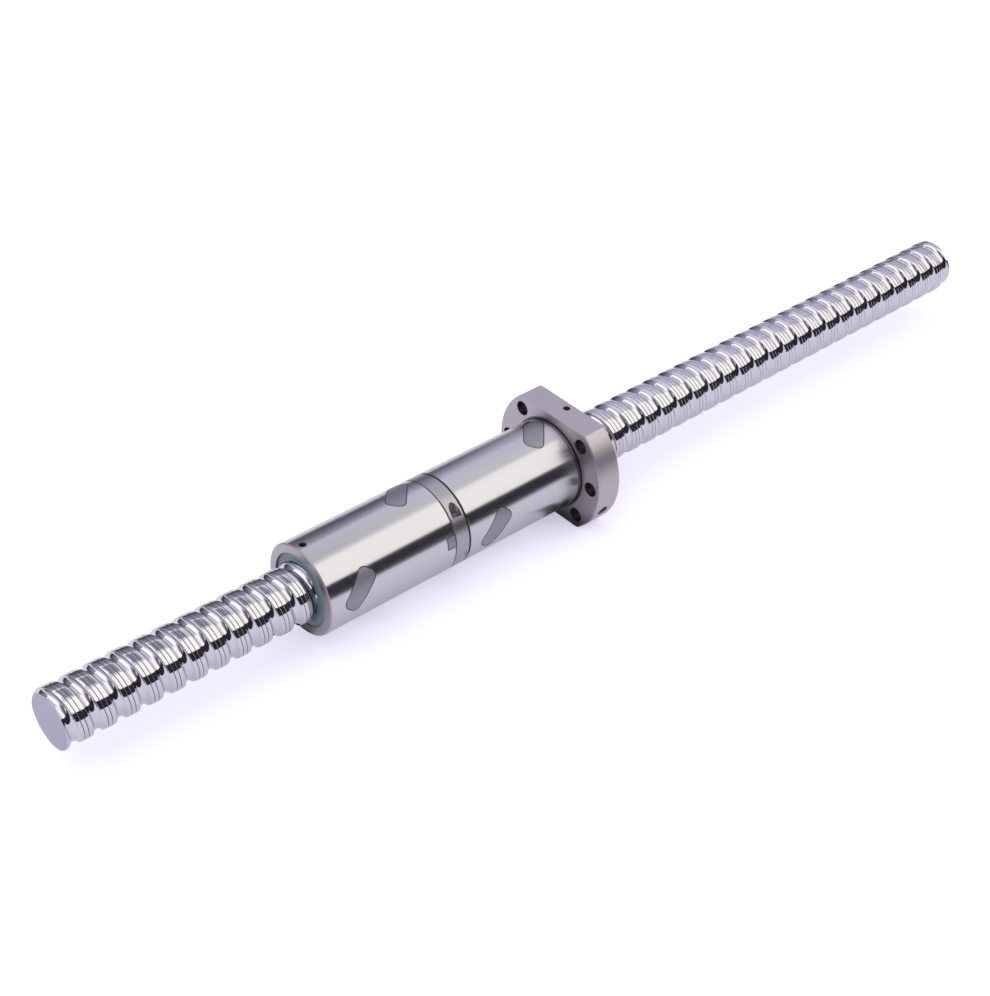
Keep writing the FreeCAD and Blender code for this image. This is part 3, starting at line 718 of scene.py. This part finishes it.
# %% Saw off both ends
saw_reach = 1e-4
bar = bmesh.new()
bar.from_mesh(thread_mesh)
for cut_x, outward in ((start_x, -1.0), (end_x, 1.0)):
    bmesh.ops.bisect_plane(
        bar, geom=bar.verts[:] + bar.edges[:] + bar.faces[:], dist=saw_reach,
        plane_co=(cut_x, 0.0, 0.0), plane_no=(outward, 0.0, 0.0), clear_outer=True,
    )
rims = [edge for edge in bar.edges if edge.is_boundary]
ends = bmesh.ops.holes_fill(bar, edges=rims, sides=0)["faces"]
bmesh.ops.scale(bar, vec=(MM, MM, MM), verts=bar.verts)
bmesh.ops.recalc_face_normals(bar, faces=bar.faces)
for face in ends:
    face.material_index = 1
end_count = len(ends)
bar.to_mesh(thread_mesh)
bar.free()
print("sawn ends:", end_count)

# %% The thread takes the shaft's place
thread_sharp_from = math.radians(24)
thread_mesh.polygons.foreach_set("use_smooth", np.ones(len(thread_mesh.polygons), dtype=bool))
thread_mesh.set_sharp_from_angle(angle=thread_sharp_from)
screw_thread = bpy.data.objects.new("screw_thread", thread_mesh)
bpy.context.scene.collection.objects.link(screw_thread)
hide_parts("screw_shaft")
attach(screw_thread, "screw")
thread_mesh.calc_loop_triangles()
print("thread triangles:", len(thread_mesh.loop_triangles))

# %% [markdown]
# ## The wipers' lips
# A wiper only scrapes if its lip fills the groove, so the lip is moulded with a thread of its own.
# A plain ring would leave the groove open, and the eye would look past it into the nut. The lip
# rises as a cone from the wiper's face to the screw. Its inner edge is the screw's own surface, a
# hair larger and without the seams, so it fits at every turn of the screw.

# %% Sizes of a lip
lip_gap = 0.25
lip_proud = 0.9
lip_width = 2.4
lip_sunk = 0.05
lip_outer = 12.85
lip_foot = 14.1
lip_steps = 120
lip_columns = 12
lip_sharp_from = math.radians(40)
wiper_recess = 1.0
seam_floor = np.isclose(section_u[:, None], lead / 2 + np.array(seam_places)).any(axis=1)
smooth_u = section_u[~seam_floor]
smooth_r = section_r[~seam_floor]
print("section without seams:", len(smooth_u), "points")

# %% Lips that follow the thread


def wiper_lip(name, face_x, outward):
    """Closed ring in mm: a cone from the wiper's face to the screw, and inside it the thread.

    The thread's radius at x and angle a is the section's radius at the offset
    x - groove_at_top - lead a / 2 pi, taken within one lead, and lip_gap is added to it.
    Outward is -1 for a wiper that looks along -X, and 1 for the other.
    """
    a = np.linspace(0.0, 2 * math.pi, lip_steps, endpoint=False)[:, None]
    x = face_x + outward * np.linspace(lip_proud, -lip_width, lip_columns)[None, :]
    offset = np.mod(x - groove_at_top - lead * a / (2 * math.pi), lead)
    inner = np.interp(offset, smooth_u, smooth_r, period=lead) + lip_gap
    outer_x = face_x - outward * np.array([lip_width, lip_sunk, lip_sunk, -lip_proud])
    outer_r = np.array([lip_outer, lip_outer, lip_foot, lip_outer])
    whole = (lip_steps, len(outer_x))
    x_all = np.concatenate([np.broadcast_to(x, inner.shape), np.broadcast_to(outer_x, whole)], axis=1)
    r_all = np.concatenate([inner, np.broadcast_to(outer_r, whole)], axis=1)
    points = np.stack([x_all, -r_all * np.sin(a), r_all * np.cos(a)], axis=-1)
    lip = ring_piece(name, points, wiper_plastic)
    lip.data.set_sharp_from_angle(angle=lip_sharp_from)
    return lip


front_face_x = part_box("plain_nut")[0][0] / MM + wiper_recess
rear_face_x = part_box("flange_nut")[1][0] / MM - wiper_recess
wiper_lip("front_wiper_lip", front_face_x, -1)
wiper_lip("rear_wiper_lip", rear_face_x, 1)
print("lips at x = %.1f and %.1f mm" % (front_face_x, rear_face_x))

# %% [markdown]
# ## The screw's finish
# The flanks and lands are polished by rolling, so they mirror the room, with faint marks that run
# along the thread and draw each reflection out into streaks. The seams are painted darker, as painted
# shade in their creases. The ends were sawn off and then faced: a dull, even grey.
# The marks could be drawn on the plain axes, but only the unrolled map follows the helix.

# %% Rolled and polished steel
# Rolling marks are finer than 0.8 mm. They are drawn this coarse so that they show.
mark_across = 0.8 * MM
mark_along = 30 * MM
mark_lift = 0.04 * MM
screw_steel, tree, shader = new_material("rolled_polished_steel")
unrolled_map = add(tree, "ShaderNodeUVMap", uv_map="unrolled").outputs["UV"]
stretch = add(
    tree, "ShaderNodeMapping",
    {"Vector": unrolled_map, "Scale": (1 / mark_across, 1 / mark_along, 1.0)},
)
marks = add(
    tree, "ShaderNodeTexNoise", {"Vector": stretch.outputs[0], "Scale": 1.0, "Detail": 2.0}
).outputs["Fac"]
rough = add(
    tree, "ShaderNodeMapRange",
    {"Value": marks, "From Min": crisp_low, "From Max": crisp_high, "To Min": 0.05, "To Max": 0.10},
)
bump = add(tree, "ShaderNodeBump", {"Height": marks, "Strength": 1.0, "Distance": mark_lift})
tree.links.new(rough.outputs["Result"], shader.inputs["Roughness"])
tree.links.new(bump.outputs["Normal"], shader.inputs["Normal"])
shader.inputs["Metallic"].default_value = 1.0
print("marks %.0f mm long" % (mark_along / MM))

# %% Painted shade in the seams
# Seams are found by U, which runs across the section, so the painted shade follows them along the
# whole thread.
section_place = add(tree, "ShaderNodeSeparateXYZ", {"Vector": unrolled_map}).outputs["X"]
steel_tint = linear("#cecdd1")
for seam in seam_places:
    seam_u = float(np.interp(lead / 2 + seam, closed_u, across))
    in_seam = add(
        tree, "ShaderNodeMath",
        {0: section_place, 1: seam_u, 2: seam_half_width * MM}, operation="COMPARE",
    )
    tint = add(
        tree, "ShaderNodeMix", {0: in_seam.outputs[0], 6: steel_tint, 7: linear("#4b4a50")},
        data_type="RGBA",
    )
    steel_tint = tint.outputs[2]
tree.links.new(steel_tint, shader.inputs["Base Color"])
thread_mesh.materials.append(screw_steel)
print("screw finish:", screw_steel.name)

# %% Faced ends
# Faced steel keeps faint straight strokes, which make it dull and even.
stroke_across = 0.35 * MM
stroke_along = 9 * MM
stroke_slant = 0.6
stroke_lift = 0.003 * MM
faced_steel, tree, shader = new_material("faced_steel")
place = add(tree, "ShaderNodeTexCoord").outputs["Object"]
stretch = add(
    tree, "ShaderNodeMapping",
    {"Vector": place, "Rotation": (stroke_slant, 0.0, 0.0),
     "Scale": (1.0, 1 / stroke_across, 1 / stroke_along)},
)
strokes = add(
    tree, "ShaderNodeTexNoise", {"Vector": stretch.outputs[0], "Scale": 1.0, "Detail": 2.0}
).outputs["Fac"]
rough = add(
    tree, "ShaderNodeMapRange",
    {"Value": strokes, "From Min": soft_low, "From Max": soft_high, "To Min": 0.30, "To Max": 0.42},
)
bump = add(tree, "ShaderNodeBump", {"Height": strokes, "Distance": stroke_lift})
shader.inputs["Base Color"].default_value = linear("#adabb8")
shader.inputs["Metallic"].default_value = 1.0
tree.links.new(rough.outputs["Result"], shader.inputs["Roughness"])
tree.links.new(bump.outputs["Normal"], shader.inputs["Normal"])
thread_mesh.materials.append(faced_steel)
print("end finish:", faced_steel.name)

# %% [markdown]
# ## The studio
# Bright metal shows its surroundings more than itself. The photograph has a soft light in front,
# another overhead on the left, a white table, and dark flags low down round the table and about
# the camera. The same is built here: a white room, two soft lights, and cards, some bent and some
# flat, that are seen only in reflections.

# %% White room
# The room is full white to the camera and in reflections, and a little dimmer as a light.
room_light = 0.75
world = bpy.data.worlds.new("white_room")
bpy.context.scene.world = world
world.use_nodes = True
tree = world.node_tree
tree.nodes.clear()
rays = add(tree, "ShaderNodeLightPath").outputs
seen = add(
    tree, "ShaderNodeMath", {0: rays["Is Camera Ray"], 1: rays["Is Glossy Ray"]}, operation="MAXIMUM"
)
seen = add(
    tree, "ShaderNodeMath", {0: seen.outputs[0], 1: rays["Is Transmission Ray"]}, operation="MAXIMUM"
)
level = add(
    tree, "ShaderNodeMapRange", {"Value": seen.outputs[0], "To Min": room_light, "To Max": 1.0}
)
sky = add(
    tree, "ShaderNodeBackground",
    {"Color": linear("#ffffff"), "Strength": level.outputs["Result"]},
)
add(tree, "ShaderNodeOutputWorld", {"Surface": sky.outputs[0]})
print("room is white")

# %% [markdown]
# The floor is white paper with a breath of lavender. To the camera it glows just enough to come
# out white, as a lit backdrop does, and its own shading is added to that, so the object's shadow
# stays. Reflections get a little of the same glow.

# %% White paper
camera_glow = 0.44
mirror_glow = 0.18
floor_paper, tree = empty_material("white_paper")
rays = add(tree, "ShaderNodeLightPath").outputs
mirrored = add(
    tree, "ShaderNodeMath",
    {0: rays["Is Glossy Ray"], 1: rays["Is Transmission Ray"]}, operation="MAXIMUM",
)
mirrored_glow = add(
    tree, "ShaderNodeMath", {0: mirrored.outputs[0], 1: mirror_glow}, operation="MULTIPLY"
)
glow = add(
    tree, "ShaderNodeMath",
    {0: rays["Is Camera Ray"], 1: camera_glow, 2: mirrored_glow.outputs[0]}, operation="MULTIPLY_ADD",
)
paper = add(tree, "ShaderNodeBsdfDiffuse", {"Color": linear("#e8e6f8")})
shine = add(
    tree, "ShaderNodeEmission", {"Color": linear("#f4f3ff"), "Strength": glow.outputs[0]}
)
total = add(tree, "ShaderNodeAddShader", {0: paper.outputs[0], 1: shine.outputs[0]})
add(tree, "ShaderNodeOutputMaterial", {"Surface": total.outputs[0]})
print("paper glows %.2f to the camera" % camera_glow)

# %% Floor


def stage_piece(name, points, faces, material):
    """Piece of the studio from its points in metres and its faces."""
    mesh = bpy.data.meshes.new(name)
    mesh.from_pydata(points, [], faces)
    mesh.materials.append(material)
    piece = bpy.data.objects.new(name, mesh)
    bpy.context.scene.collection.objects.link(piece)
    return piece


def lying(x_ends, y_ends, z):
    """Corners of a level rectangle, in order round it."""
    return [(x_ends[i], y_ends[j], z) for i, j in ((0, 0), (1, 0), (1, 1), (0, 1))]


floor_z = cad_box[0][2]
floor_ends = (-4.0, 4.0)
stage_piece("floor", lying(floor_ends, floor_ends, floor_z), [(0, 1, 2, 3)], floor_paper)
print("floor at %.1f mm" % (floor_z / MM))

# %% [markdown]
# ## Bent cards
# A flag is a card bent round the table: a patch of a sphere between two bearings and two
# heights, both in degrees as seen from the object. Bearing 0 is along X, and -90 is in front.
# Each card is shaded from its foot to its head, which is what softens the bands on the barrels.

# %% Card paper


def card_paper(name, foot, head):
    """Paper whose brightness goes smoothly from foot to head, by the card's own map."""
    material, tree = empty_material(name)
    sheet = add(tree, "ShaderNodeUVMap", uv_map="sheet")
    up = add(tree, "ShaderNodeSeparateXYZ", {"Vector": sheet.outputs["UV"]})
    shade = add(
        tree, "ShaderNodeMapRange", {"Value": up.outputs["Y"], "To Min": foot, "To Max": head},
        interpolation_type="SMOOTHSTEP",
    )
    shine = add(
        tree, "ShaderNodeEmission", {"Color": linear("#eae6ff"), "Strength": shade.outputs["Result"]}
    )
    add(tree, "ShaderNodeOutputMaterial", {"Surface": shine.outputs[0]})
    return material


def only_mirrored(card):
    """Hide a card from the camera and from the light, so that only reflections show it."""
    card.visible_camera = False
    card.visible_diffuse = False
    card.visible_shadow = False


print("card paper is shaded by its own map")

# %% Bent cards
across_steps = 24
up_steps = 8


def bent_card(name, bearings, heights, shades, far):
    """Patch of a sphere: far times (cos h cos b, cos h sin b, sin h) over bearing and height."""
    b, h = np.meshgrid(
        np.radians(np.linspace(*bearings, across_steps + 1)),
        np.radians(np.linspace(*heights, up_steps + 1)),
    )
    points = far * np.stack([np.cos(h) * np.cos(b), np.cos(h) * np.sin(b), np.sin(h)], axis=-1)
    numbers = np.arange(b.size).reshape(b.shape)
    quads = np.stack(
        [numbers[:-1, :-1], numbers[:-1, 1:], numbers[1:, 1:], numbers[1:, :-1]], axis=-1
    ).reshape(-1, 4)
    paper = card_paper(name, *shades)
    card = stage_piece(name, points.reshape(-1, 3).tolist(), quads.tolist(), paper)
    v = np.linspace(0.0, 1.0, up_steps + 1)[:, None] * np.ones(b.shape)
    sheet = np.stack([np.zeros(b.size), v.ravel()], axis=-1)
    card.data.uv_layers.new(name="sheet")
    card.data.uv_layers["sheet"].data.foreach_set("uv", sheet[quads.ravel()].ravel())
    only_mirrored(card)


# Name, bearings, heights, brightness of foot and head, and distance in metres. A card at 0.9 m
# stands before the soft lights and hides them, and one at 2.5 m stands behind them.
bent_cards = (
    ("camera_flag", (-166, -112), (20, 52), (0.08, 0.60), 2.5),
    ("back_flag", (58, 128), (-4, 46), (0.05, 0.50), 0.9),
    ("back_card", (36, 58), (-4, 60), (0.62, 1.20), 0.9),
    ("left_flag", (128, 194), (-4, 42), (0.18, 1.0), 2.5),
    ("far_flag", (-20, 36), (-4, 16), (0.06, 0.40), 0.9),
    ("far_card", (0, 36), (16, 46), (0.60, 0.95), 0.9),
)
for card_facts in bent_cards:
    bent_card(*card_facts)
print("bent cards:", len(bent_cards))

# %% [markdown]
# ## Flat cards
# A black card stands on the table in front, and gives the barrels their dark lower band. A grey one
# hangs over the screw. Two black strips are a painted shadow on the table, at the feet of the faces
# that look at the camera, where the table is in deep shade. These have one brightness all over, so
# four corners are enough.

# %% Flat cards
black = 0.04
grey = 0.48


def flat_card(name, corners, level):
    """Card of one brightness through four corners in metres, seen only in reflections."""
    card = stage_piece(name, corners, [(0, 1, 2, 3)], card_paper(name, level, level))
    card.data.uv_layers.new(name="sheet")
    only_mirrored(card)


flag_y = -0.33
flag_top = 0.175
flag_left = -1.5
flag_right = 0.9
flag_outline = (
    (flag_left, floor_z), (flag_right, floor_z), (flag_right, flag_top), (flag_left, flag_top)
)
flat_card("front_flag", [(x, flag_y, z) for x, z in flag_outline], black)

top_card_z = 0.80
top_card_x = (-0.04, 0.25)
top_card_y = (-0.05, 0.62)
flat_card("top_card", lying(top_card_x, top_card_y, top_card_z), grey)

# The two strips below are a painted shadow on the table, seen only in reflections.
strip_lift = 0.3 * MM
strip_z = floor_z + strip_lift
nut_face_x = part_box("plain_nut")[0][0]
nut_strip_x = (nut_face_x - 0.010, nut_face_x)
nut_strip_y = (-0.002, 0.022)
flat_card("nut_foot_painted_shadow", lying(nut_strip_x, nut_strip_y, strip_z), black)

flange_strip_x = (-0.009, 0.0)
flange_strip_y = (-0.031, 0.0)
flat_card("flange_foot_painted_shadow", lying(flange_strip_x, flange_strip_y, strip_z), black)
print("front flag stands %.0f mm off" % (-flag_y / MM))

# %% [markdown]
# ## Soft lights
# The two soft lights are flat panels that face the object. Each is given by its bearing and
# height as seen from there, its distance and its size, and its power follows from one common
# brightness: a panel of area A shines with power pi times A times that brightness.

# %% Soft lights
light_level = 0.55
light_far = 1.6


def soft_light(name, bearing, height, wide, tall, roll):
    """Area lamp at a bearing and height in degrees, facing the origin, rolled about its aim."""
    lamp_data = bpy.data.lights.new(name, "AREA")
    lamp_data.shape = "RECTANGLE"
    lamp_data.size = wide
    lamp_data.size_y = tall
    lamp_data.energy = math.pi * wide * tall * light_level
    lamp = bpy.data.objects.new(name, lamp_data)
    turned = Matrix.Rotation(math.radians(bearing + 90), 4, "Z")
    tilted = Matrix.Rotation(math.radians(90 - height), 4, "X")
    rolled = Matrix.Rotation(math.radians(roll), 4, "Z")
    lamp.matrix_world = turned @ tilted @ Matrix.Translation((0, 0, light_far)) @ rolled
    bpy.context.scene.collection.objects.link(lamp)
    return lamp


# Bearing and height in degrees, the panel's sides in metres, and its roll in degrees.
front_light = soft_light("front_soft_light", -60, 48, 2.1, 1.5, -11)
front_light.data.color = linear("#fff3e6")[:3]
left_light = soft_light("left_soft_light", 140, 65, 2.3, 1.5, 0)
print("soft lights: %.1f W and %.1f W" % (front_light.data.energy, left_light.data.energy))
